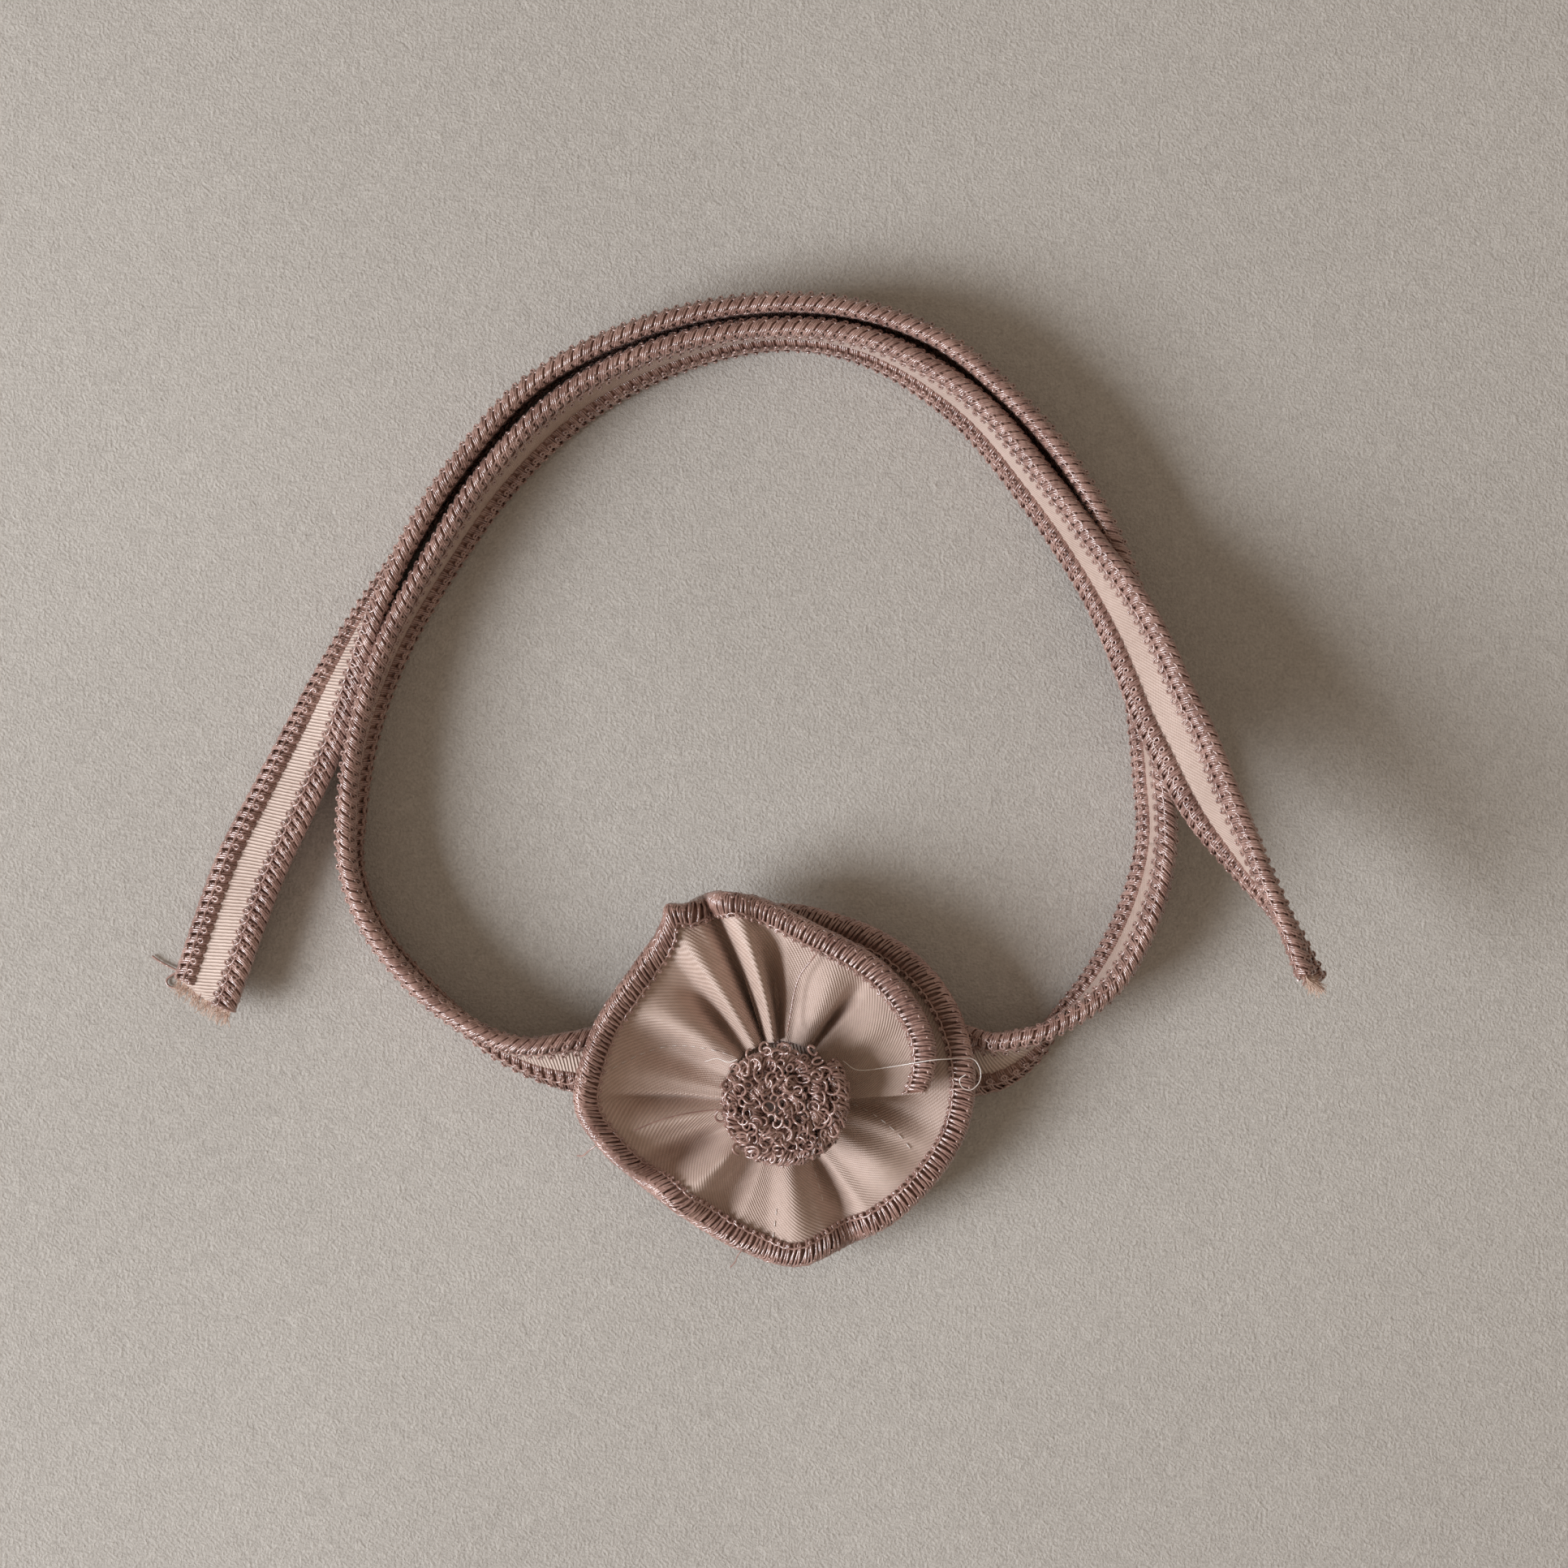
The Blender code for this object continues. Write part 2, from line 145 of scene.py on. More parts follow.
def clothMaterial(name, look):
    # woven satin; its map is in metres, along the ribbon and across it
    g = Graph(name)
    place = g.node("ShaderNodeUVMap", {"uv_map": "weave"})
    ribs = g.bands(place, look["direction"], look["ribPitch"], look["ribWaver"])
    yarn = g.bands(place, look["crossing"], look["yarnPitch"], look["yarnWaver"])
    slub = g.noise(place, look["slubScale"], detail=4.0)
    cloud = g.noise(g.onPiece(), look["cloudScale"], detail=3.0)
    weave = ribs * look["ribShare"] + yarn * (1.0 - look["ribShare"])
    shade = weave * look["contrast"] + slub * look["slubShade"] + cloud * look["cloudShade"]
    rough = slub * look["roughSpread"] + (look["roughness"] - look["roughDrop"])
    height = weave + slub * look["slubRelief"]
    return g.surface(Base_Color=g.ramp(look, shade), Roughness=rough, Normal=g.bump(height, look["depth"]),
                     Sheen_Weight=look["sheen"], Sheen_Roughness=sheenRoughness,
                     Specular_IOR_Level=look["gloss"])


def threadMaterial(name, look):
    # glossy filament thread, twisted, with paler and darker stretches
    g = Graph(name)
    place = g.onPiece()
    stretch = g.noise(place, look["stretchScale"], detail=2.0)
    strand = g.noise(place, look["strandScale"], detail=3.0, distortion=look["strandWaver"])
    shade = stretch * look["stretchShade"] + strand * look["strandShade"]
    rough = strand * look["roughSpread"] + (look["roughness"] - look["roughDrop"])
    return g.surface(Base_Color=g.ramp(look, shade), Roughness=rough, Normal=g.bump(strand, look["depth"]),
                     Sheen_Weight=look["sheen"], Sheen_Roughness=sheenRoughness,
                     Specular_IOR_Level=look["gloss"], Coat_Weight=look["coat"],
                     Coat_Roughness=look["coatRoughness"])


def feltMaterial(name, look):
    g = Graph(name)
    place = g.onPiece()
    fuzz = g.noise(place, look["fuzzScale"], detail=6.0, distortion=look["fuzzWaver"])
    patch = g.noise(place, look["patchScale"], detail=2.0)
    shade = fuzz * look["fuzzShade"] + patch * look["patchShade"]
    return g.surface(Base_Color=g.ramp(look, shade), Roughness=look["roughness"],
                     Normal=g.bump(fuzz, look["depth"]), Sheen_Weight=look["sheen"])


def paperMaterial(name, look):
    g = Graph(name)
    place = g.onPiece()
    grain = g.noise(place, look["grainScale"], detail=5.0, distortion=look["grainWaver"])
    pulp = g.noise(place, look["pulpScale"], detail=4.0, distortion=look["pulpWaver"])
    drift = g.noise(place, look["driftScale"], detail=2.0)
    tone = grain * look["grainShade"] + pulp * look["pulpShade"] + drift * look["driftShade"]
    return g.surface(Base_Color=g.ramp(look, tone), Roughness=look["roughness"],
                     Normal=g.bump(grain + pulp * look["pulpRelief"], look["depth"]),
                     Specular_IOR_Level=look["gloss"])


stageLook = {"cameraHeight": 0.45, "cameraX": 0.45 * mm, "cameraY": 37.9 * mm, "seenWidth": 217.1 * mm,
             "nearest": 0.01, "floorSize": 1.6, "middle": (0.0, 0.04, 0.0), "floorDrop": 0.0001,
             "lightPlace": (-1.23, -0.38, 0.80), "lightSize": 0.74, "lightPower": 29.5,
             "lightColour": (0.90, 0.945, 1.0), "roomColour": (1.0, 0.83, 0.66, 1.0), "roomStrength": 0.32}
paperLook = {"deep": (0.43, 0.396, 0.363), "pale": (0.605, 0.566, 0.522), "ramp": (0.37, 0.63),
             "grainScale": 2600.0, "grainWaver": 0.3, "grainShade": 0.5,
             "pulpScale": 600.0, "pulpWaver": 1.5, "pulpShade": 0.3, "pulpRelief": 0.5,
             "driftScale": 9.0, "driftShade": 0.2, "roughness": 0.95, "gloss": 0.2, "depth": 0.0002}


def buildStage():
    look = stageLook
    bpy.ops.object.camera_add(location=(look["cameraX"], look["cameraY"], look["cameraHeight"]),
                              rotation=(0.0, 0.0, 0.0))
    camera = bpy.context.object
    camera.data.angle = 2 * math.atan(look["seenWidth"] / 2 / look["cameraHeight"])
    camera.data.clip_start = look["nearest"]
    bpy.context.scene.camera = camera

    middle = Vector(look["middle"])
    bpy.ops.mesh.primitive_plane_add(size=look["floorSize"],
                                     location=(*look["middle"][:2], -look["floorDrop"]))
    table = bpy.context.object
    table.name = "table"
    table.data.materials.append(paperMaterial("palePaper", paperLook))

    bpy.ops.object.light_add(type="AREA", location=look["lightPlace"])
    light = bpy.context.object
    light.name = "keyWindow"
    light.data.size = look["lightSize"]
    light.data.energy = look["lightPower"]
    light.data.color = look["lightColour"]
    light.rotation_euler = (middle - Vector(look["lightPlace"])).to_track_quat("-Z", "Y").to_euler()

    world = bpy.data.worlds.new("room")
    world.use_nodes = True
    background = world.node_tree.nodes["Background"]
    background.inputs["Color"].default_value = look["roomColour"]
    background.inputs["Strength"].default_value = look["roomStrength"]
    bpy.context.scene.world = world
    bpy.context.scene.view_settings.view_transform = "Standard"
    print("stage set")


# rows are x and y in millimetres, the low edge's lift as a share of the ribbon's width, and
# the lean outward in degrees
ribbonRoute = {
    "rightTail": [(69.3, 12.4, 1.88, -15), (66.0, 20.2, 1.66, -6), (61.6, 27.6, 1.45, 14),
                  (57.1, 35.5, 1.3, 36)],
    "leftArm": [(53.5, 43.7, 1.1, 47), (51.4, 48.1, 1.0, 46), (47.3, 58.5, 0.64, 39), (42.4, 67.6, 0.24, 26),
                (35.4, 77.9, 0.02, 21), (25.6, 89.3, 0, 18), (12.9, 97.2, 0, 11), (-0.2, 99.3, 0, 6),
                (-14.3, 96.7, 0, 12), (-27.5, 90.3, 0, 19), (-38.0, 80.5, 0, 18), (-46.0, 69.1, 0, 13),
                (-52.9, 56.9, 0, 10), (-57.0, 45.0, 0, 6), (-58.6, 34.1, 0, 3), (-58.5, 25.5, 0, -1),
                (-54.9, 17.0, 0, -2), (-47.9, 9.0, 0, -2), (-40.0, 3.0, 0, -12), (-34.2, 0.6, 0.02, -26),
                (-29.0, 0.0, 0.08, -46)],
    "centre": [(-23.0, 0.0, 0.08, -68), (-16.0, 0.0, 0.14, -88), (0.0, 0.0, 0.14, -90),
               (16.0, 0.0, 0.14, -88), (23.0, 0.0, 0.08, -70)],
    "rightArm": [(29.0, 0.0, 0.08, -48), (33.6, 2.0, 0.02, -26), (37.8, 5.2, 0, -2), (44.2, 11.3, 0, 16),
                 (49.0, 20.3, 0, 18), (51.3, 29.8, 0, 15), (50.8, 39.5, 0, 14), (49.6, 50.5, 0, 12),
                 (48.2, 60.7, 0, 7), (45.0, 70.5, 0, 4), (39.0, 81.1, 0, 3), (31.0, 90.3, 0, 3),
                 (20.6, 98.6, 0, 1), (7.5, 102.8, 0, -1), (-6.8, 102.7, 0, -1), (-21.1, 99.0, 0, -1),
                 (-34.3, 91.8, 0, -1), (-44.1, 80.7, 0, 0)],
    "leftTail": [(-50.6, 71.0, 0, -5), (-55.4, 62.8, 0, -17), (-59.9, 53.5, 0, -36), (-64.3, 43.8, 0, -54),
                 (-68.8, 34.8, 0, -60), (-73.6, 24.9, 0, -65), (-79.4, 8.4, 0.0, -62)],
}
stepsPerRow = 16                 # points between two rows of the ribbon's route
rimSteps = 12                    # the same for the rim, and below for a loose thread
strandSteps = 6
halfRoll = 1.1 * mm              # half the thickness of an overlocked edge
rollProfile = ((0.0, 0.4), (0.7, 1.0))    # in from the edge and off the cloth, in shares of halfRoll
ribbonLook = {"satinWidth": 9.6 * mm, "edgeAllowance": 0.6 * mm, "cloth": 0.28 * mm, "step": 1.0 * mm,
              "across": 9, "ribShear": 0.27,
              "seamLap": 0.2 * mm,         # how far two stretches run into each other where one ends
              "leftCut": 2.4 * mm,         # how much further the left tail's cut runs at its upper edge
              "bendReach": 5.0 * mm,       # the bend points lie this far to both sides of a tail's joint
              "turnNear": 25.0 * mm, "turnFar": 37.0 * mm,     # and at these beside the rosette
              "turnHeight": 2.6 * mm,
              "leftSeamRow": 14, "rightSeamRow": 5}            # rows of the arms where stretches meet


class Route:
    # a strip's middle line with its across and normal directions at every length along it
    def __init__(self, middle, across, normal):
        self.middle = middle
        self.across = across
        self.normal = normal
        steps = np.linalg.norm(np.diff(middle, axis=0), axis=1)
        self.lengths = np.concatenate([[0.0], np.cumsum(steps)])
        self.total = self.lengths[-1]

    def at(self, table, s):
        return np.stack([np.interp(s, self.lengths, table[:, k]) for k in range(3)], axis=-1)

    def place(self, s, u, v):
        # s along the strip, u across it and v out of its face, all in metres
        across = self.at(self.across, s) * u[..., None]
        placed = self.at(self.middle, s) + across + self.at(self.normal, s) * v[..., None]
        placed[..., 2] = np.maximum(placed[..., 2], lowest)
        return placed


def smoothRows(rows, steps):
    # a smooth line through all the rows
    rows = np.array(rows, float)
    padded = np.vstack([2 * rows[0] - rows[1], rows, 2 * rows[-1] - rows[-2]])
    t = (np.arange(steps) / steps)[:, None]
    dense = []
    for a, b, c, d in zip(padded, padded[1:], padded[2:], padded[3:]):
        dense.append(0.5 * (2 * b + (c - a) * t + (2 * a - 5 * b + 4 * c - d) * t ** 2
                            + (3 * b - a - 3 * c + d) * t ** 3))
    return np.vstack(dense + [rows[-1:]])


def unit(vectors):
    return vectors / np.linalg.norm(vectors, axis=-1, keepdims=True)


def buildRibbonRoute():
    rows = sum(ribbonRoute.values(), [])
    dense = smoothRows(rows, stepsPerRow)
    lean = np.radians(dense[:, 3])
    c, s = np.abs(np.cos(lean)), np.abs(np.sin(lean))
    stand = np.maximum(*[(halfWidth - inward * halfRoll) * c + off * halfRoll * s
                         for inward, off in rollProfile])
    middle = np.column_stack([dense[:, 0] * mm, dense[:, 1] * mm, dense[:, 2] * ribbonWidth + stand])
    tangent = unit(np.gradient(middle, axis=0))
    outward = unit(np.stack([tangent[:, 1], -tangent[:, 0], np.zeros(len(tangent))], axis=1))
    up = unit(np.cross(outward, tangent))
    up *= np.sign(up[:, 2:3])
    across = up * np.cos(lean)[:, None] + outward * np.sin(lean)[:, None]
    normal = outward * np.cos(lean)[:, None] - up * np.sin(lean)[:, None]
    return Route(middle, across, normal)


def lengthAt(route, row):
    # length along the ribbon at the row's place in the list of all rows
    return route.lengths[row * stepsPerRow]


def deselectAll():
    if bpy.context.object and bpy.context.object.mode != "OBJECT":
        bpy.ops.object.mode_set(mode="OBJECT")
    bpy.ops.object.select_all(action="DESELECT")


def onlySelect(*things):
    deselectAll()
    for thing in things:
        thing.select_set(True)
    bpy.context.view_layer.objects.active = things[0]


def applyAll(piece):
    onlySelect(piece)
    for modifier in list(piece.modifiers):
        bpy.ops.object.modifier_apply(modifier=modifier.name)


def gridPiece(name, along, around, shape, materials):
    # a flat grid primitive laid on a shape, which takes shares of length and width and gives points and a map
    deselectAll()
    bpy.ops.mesh.primitive_grid_add(x_subdivisions=along, y_subdivisions=around, size=1.0)
    piece = bpy.context.object
    piece.name = name
    mesh = piece.data
    flat = np.empty(len(mesh.vertices) * 3)
    mesh.vertices.foreach_get("co", flat)
    flat = flat.reshape(-1, 3)
    points, weave = shape(flat[:, 0] + 0.5, flat[:, 1] + 0.5)
    corners = np.empty(len(mesh.loops), int)
    mesh.loops.foreach_get("vertex_index", corners)
    for layer in list(mesh.uv_layers):
        mesh.uv_layers.remove(layer)
    mesh.uv_layers.new(name="weave").data.foreach_set("uv", weave[corners].ravel())
    mesh.vertices.foreach_set("co", points.ravel())
    for material in materials:
        mesh.materials.append(material)
    bpy.ops.object.shade_smooth()
    return piece


def thicken(piece, thickness, backMaterial=0):
    wall = piece.modifiers.new("cloth", "SOLIDIFY")
    wall.thickness = thickness
    wall.offset = 0.0
    wall.material_offset = backMaterial
    applyAll(piece)


weldReach = 1e-6


def tubePiece(name, along, around, shape, material):
    # a grid rolled into a tube, its seam merged and its ends closed
    piece = gridPiece(name, along, around, shape, [material])
    bpy.ops.object.mode_set(mode="EDIT")
    bpy.ops.mesh.select_all(action="SELECT")
    bpy.ops.mesh.remove_doubles(threshold=weldReach)
    bpy.ops.mesh.fill_holes(sides=0)
    bpy.ops.mesh.select_all(action="SELECT")
    bpy.ops.mesh.normals_make_consistent(inside=False)
    bpy.ops.object.mode_set(mode="OBJECT")
    return piece


def threadPiece(name, strands, radius, material, sides=1):
    # strands of thread, each an array of points, made round and then a mesh
    curve = bpy.data.curves.new(name, "CURVE")
    curve.dimensions = "3D"
    curve.bevel_depth = radius
    curve.bevel_resolution = sides
    curve.use_fill_caps = True
    for points in strands:
        spline = curve.splines.new("POLY")
        spline.points.add(len(points) - 1)
        spline.points.foreach_set("co", np.column_stack([points, np.ones(len(points))]).ravel())
        spline.use_smooth = True
    piece = bpy.data.objects.new(name, curve)
    bpy.context.collection.objects.link(piece)
    onlySelect(piece)
    bpy.ops.object.convert(target="MESH")
    piece = bpy.context.object
    piece.data.materials.clear()
    piece.data.materials.append(material)
    bpy.ops.object.shade_smooth()
    return piece


def joinAs(name, pieces):
    onlySelect(*pieces)
    bpy.ops.object.join()
    piece = bpy.context.object
    piece.name = name
    return piece


# one wrap's rows are its place in pitches, and its millimetres in from the edge and off the cloth;
# a bundle's rows are each strand's place along the pitch, share of the height, and slant in pitches
bandStitch = {
    "pitch": 1.5 * mm, "threadRadius": 0.165 * mm, "wander": 0.03 * mm,
    "bedReach": 3.1 * mm, "bedHalf": 0.72 * mm, "bedInset": 0.15 * mm, "bedSquareness": 0.8,
    "bedStep": 1.5 * mm, "bedSides": 14, "bedGirth": 6.0 * mm, "bedLeastSteps": 8,
    "wraps": [(0.0, 3.3, 0.4), (0.1, 2.65, 0.9), (0.3, 1.5, 1.14), (0.55, 0.5, 0.98), (0.93, -0.02, 0.3),
              (1.2, 0.03, -0.4), (1.5, 0.6, -1.0), (1.68, 1.6, -1.12), (1.8, 2.65, -0.85), (1.9, 3.3, -0.35)],
    "wrapPitches": 2,
    "bundle": [(0.0, 0.86, 0.0), (0.19, 1.04, 0.0), (0.38, 1.04, 0.0), (0.57, 0.86, 0.0)],
    "loops": [{"side": 1, "inset": 2.6, "height": 1.12, "along": 0.66, "across": 0.66, "tip": 0.0},
              {"side": -1, "inset": 2.6, "height": 1.12, "along": 0.66, "across": 0.66, "tip": 0.0},
              {"side": 1, "inset": 0.75, "height": 1.05, "along": 0.62, "across": 0.42, "tip": -0.4},
              {"side": -1, "inset": 0.6, "height": 0.95, "along": 0.5, "across": 0.3, "tip": -0.3}],
    "loopPoints": 9,
}
rimStitch = dict(bandStitch, pitch=1.25 * mm, bedHalf=0.66 * mm, wander=0.04 * mm,
                 bundle=[(0.0, 0.97, -0.22), (0.24, 1.07, 0.2), (0.56, 0.97, -0.1), (0.76, 1.0, 0.15)],
                 loops=[{"side": side, "inset": inset, "height": height, "along": 0.42, "across": across,
                         "tip": tip}
                        for side in (1, -1)
                        for inset, height, across, tip in ((3.1, 0.9, 0.3, 0.0), (0.35, 0.75, 0.32, -0.35))])
budStitch = dict(bandStitch, pitch=1.35 * mm, threadRadius=0.185 * mm, wander=0.16 * mm)


def loopStrand(route, edge, start, end, stitch, loop, rng):
    # a chain of small rings, on a face near the inner line or on the shoulder
    pitch, points = stitch["pitch"], stitch["loopPoints"]
    turn = np.arange(math.floor(start / pitch) * points, math.ceil(end / pitch) * points) / points
    angle = 2 * math.pi * turn
    wander = rng.normal(0.0, stitch["wander"], (3, len(turn)))
    s = turn * pitch + loop["along"] * mm * np.sin(angle) + wander[0]
    u = edge * (halfWidth + (loop["across"] * np.cos(angle) - loop["inset"]) * mm)
    v = loop["side"] * (loop["height"] + loop["tip"] * np.cos(angle)) * mm
    kept = (s >= start) & (s <= end)
    return route.place(s, u + wander[1], v + wander[2])[kept]


def wrapStrand(route, edge, start, end, stitch, shift, share, slant, rng):
    # one strand that goes over the edge and back under it, pitch after pitch
    rows = np.array(stitch["wraps"])
    repeat = stitch["pitch"] * stitch["wrapPitches"]
    first = math.floor(start / repeat) - 1
    repeats = math.ceil(end / repeat) - first
    leaning = rows[:, 0] + slant * rows[:, 1] / rows[0, 1]
    turn = (first + np.arange(repeats)[:, None]) * stitch["wrapPitches"] + leaning + shift
    wander = rng.normal(0.0, stitch["wander"], (3, turn.size))
    s = turn.ravel() * stitch["pitch"] + wander[0]
    u = edge * (halfWidth - np.tile(rows[:, 1], repeats) * mm)
    v = np.tile(rows[:, 2] * share, repeats) * mm
    kept = (s >= start) & (s <= end)
    return route.place(s, u + wander[1], v + wander[2])[kept]


def overlock(name, route, edge, start, end, stitch, materials, seed):
    rng = np.random.RandomState(seed)
    strands = [wrapStrand(route, edge, start, end, stitch, first + shift, share, slant, rng)
               for first in range(stitch["wrapPitches"]) for shift, share, slant in stitch["bundle"]]
    strands += [loopStrand(route, edge, start, end, stitch, loop, rng) for loop in stitch["loops"]]
    threads = threadPiece(name, strands, stitch["threadRadius"], materials["thread"])
    reach = stitch["bedReach"]

    def squared(wave):
        return np.sign(wave) * np.abs(wave) ** stitch["bedSquareness"]

    def bed(a, b):
        # the body under the threads, coloured darker than the thread to paint the shade between its bundles
        s = start + a * (end - start)
        angle = 2 * math.pi * b
        u = edge * (halfWidth - stitch["bedInset"] - reach / 2 + reach / 2 * squared(np.cos(angle)))
        v = stitch["bedHalf"] * squared(np.sin(angle))
        return route.place(s, u, v), np.column_stack([s, b * stitch["bedGirth"]])

    steps = max(stitch["bedLeastSteps"], int((end - start) / stitch["bedStep"]))
    core = tubePiece(name + "Bed", steps, stitch["bedSides"], bed, materials["bed"])
    return joinAs(name, [threads, core])


def satinStrip(name, route, start, end, slant, materials):
    width = ribbonLook["satinWidth"]
    length = end - start

    def strip(a, b):
        s = start + a * (length + (b - 0.5) * slant)
        u = (b - 0.5) * width
        return route.place(s, u, np.zeros(len(s))), np.column_stack([s + ribbonLook["ribShear"] * u, u])

    piece = gridPiece(name, int(length / ribbonLook["step"]), ribbonLook["across"], strip, materials)
    thicken(piece, ribbonLook["cloth"], 1)
    return piece, width, length


def tailBend(route, s):
    # the two bend points on both sides of a tail's joint
    reach = ribbonLook["bendReach"]
    ends = route.at(route.middle, np.array([s - reach, s + reach]))
    return Vector(ends[0]), Vector(ends[1])


def rosetteTurn(first, second):
    return tuple(Vector((x, 0.0, ribbonLook["turnHeight"])) for x in (first, second))


def buildRibbon(route, materials):
    # four stretches, each listed with the bodies and bend points of one joint; rows holds the first row of
    # each part of the route
    rows = {}
    total = 0
    for key, points in ribbonRoute.items():
        rows[key] = total
        total += len(points)
    leftSide = lengthAt(route, rows["leftArm"] + ribbonLook["leftSeamRow"])
    rightSide = lengthAt(route, rows["rightArm"] + ribbonLook["rightSeamRow"])
    middle = lengthAt(route, rows["centre"] + len(ribbonRoute["centre"]) // 2)
    rightBend = tailBend(route, lengthAt(route, rows["leftArm"]))
    leftBend = tailBend(route, lengthAt(route, rows["leftTail"] - 1))
    near, far = ribbonLook["turnNear"], ribbonLook["turnFar"]
    stretches = [
        ("farLeft", 0.0, leftSide, "right_tail", "band", rightBend, ["left_arm", "right_tail"]),
        ("nearLeft", leftSide, middle, "band", "flower", rosetteTurn(-far, -near), ["left_arm", "centre"]),
        ("nearRight", middle, rightSide, "flower", "band", rosetteTurn(near, far), ["right_arm", "centre"]),
        ("farRight", rightSide, route.total, "band", "left_tail", leftBend, ["right_arm", "left_tail"]),
    ]
    for number, (name, start, end, bodyA, bodyB, points, nodes) in enumerate(stretches):
        start = max(start - ribbonLook["seamLap"], 0.0)
        end = min(end + ribbonLook["seamLap"], route.total)
        slant = ribbonLook["leftCut"] if name == "farRight" else 0.0
        strip, width, length = satinStrip(name + "Satin", route, start, end, slant,
                                          [materials["ribbed"], materials["fine"]])
        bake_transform(strip)
        replaced = [node + "_ribbon" for node in nodes]
        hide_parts(*replaced)
        width + ribbonLook["edgeAllowance"]
        for edge, word in ((1, "Upper"), (-1, "Lower")):
            seed = 10 * number + edge + 1
            roll = overlock(name + word + "Overlock", route, edge, start, end + edge * slant / 2, bandStitch,
                            materials, seed)
            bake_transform(roll)
            words = dict.fromkeys(nodes, word.lower())
            words["centre"] = "back" if edge > 0 else "front"
            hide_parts(*[node + "_" + words[node] + "_overlock" for node in nodes])
    print("ribbon laid:", round(route.total / mm), "mm long")


# the rim, clockwise from its hidden start: angle in degrees, radius and height in millimetres
rimRows = [(108, 23.6, 6.4), (97, 24.4, 6.8), (85, 24.5, 7.2), (70, 24.4, 7.8), (55, 25.0, 8.4),
           (38, 25.8, 9.2), (19, 26.2, 9.9), (-9, 26.1, 9.9), (-34, 24.6, 8.6), (-53, 24.1, 7.8),
           (-70, 23.8, 7.4), (-86, 24.6, 7.2), (-106, 23.0, 7.4), (-130, 22.2, 8.4), (-148, 23.6, 10.0),
           (-162, 25.7, 11.6), (-175, 27.6, 12.6), (-192, 26.6, 12.6), (-214, 25.6, 11.6),
           (-228, 26.2, 11.4), (-234.5, 27.5, 11.2), (-238, 29.0, 11.6), (-242.5, 27.9, 12.0),
           (-252, 27.6, 12.4), (-262, 26.0, 12.8), (-275, 23.4, 13.2), (-290, 22.0, 13.4),
           (-320, 21.7, 13.4), (-345, 21.5, 13.4), (-362, 19.6, 12.8)]

# pleats: angle at the bud and at the rim, half width in degrees, height in millimetres (below 0 a valley),
# how far out it reaches, what is left of it at the rim, and sideways lean in millimetres
pleatRows = [
    (-4, -14, 12, -2.6, 0.85, 0.1, 0.0), (-36, -36, 14, 2.0, 0.9, 0.1, 0.0),
    (-63, -64, 10, -3.4, 0.95, 0.4, 0.0), (-84, -83, 14, 2.2, 1.0, 0.3, 0.0),
    (-113, -116, 10, -1.8, 0.9, 0.2, 0.0), (-131, -132, 10, 3.0, 0.95, 0.4, 0.0),
    (-149, -146, 10, -3.4, 0.95, 0.4, 0.0), (-166, -164, 8, 1.6, 0.9, 0.1, 0.0),
    (-175, -174, 5, -1.8, 0.95, 0.1, 0.5), (-198, -198, 13, -2.0, 0.9, 0.1, 0.0),
    (-218, -210, 13, 2.6, 0.9, 0.1, 0.0), (-229, -228, 8, -3.4, 0.7, 0.0, 0.0),
    (-243, -235, 8, 2.6, 0.95, 0.3, 0.0), (-253, -247.5, 5, -5.0, 1.0, 0.9, 0.0),
    (-262, -254.5, 6.5, 3.4, 0.95, 0.15, 0.3), (-269, -265, 7, -3.6, 0.85, 0.05, 0.0),
    (-292, -296, 14, 2.2, 0.9, 0.1, 0.0), (-303, -309, 6, -3.2, 0.75, 0.0, 0.0),
    (-322, -326, 13, 1.4, 0.9, 0.1, 0.0), (-350, -350, 11, -1.0, 0.85, 0.0, 0.0),
]
ruffleLook = {"gatherRadius": 7.6 * mm, "gatherHeight": 5.0 * mm, "gatherClimb": 3.2 * mm,
              "along": 760, "across": 34, "cloth": 0.26 * mm, "flatWidth": 17.5 * mm,
              "puckers": 31, "puckerHeight": 0.1 * mm, "puckerBeat": 9.0, "puckerReach": 0.45,
              "crown": 0.9 * mm, "cup": 3.9 * mm, "cupAngle": -185.0, "cupSpread": 55.0,    # left side cupped
              "foldAtBud": 0.45, "foldFull": 0.3, "fadeBefore": 0.45, "fadeAfter": 0.1,
              "rimPoints": 900, "rimInner": 0.86, "rimMargin": 0.3 * mm, "rimSeed": 71}


def smoothStep(low, high, x):
    t = np.clip((x - low) / (high - low), 0.0, 1.0)
    return t * t * (3.0 - 2.0 * t)


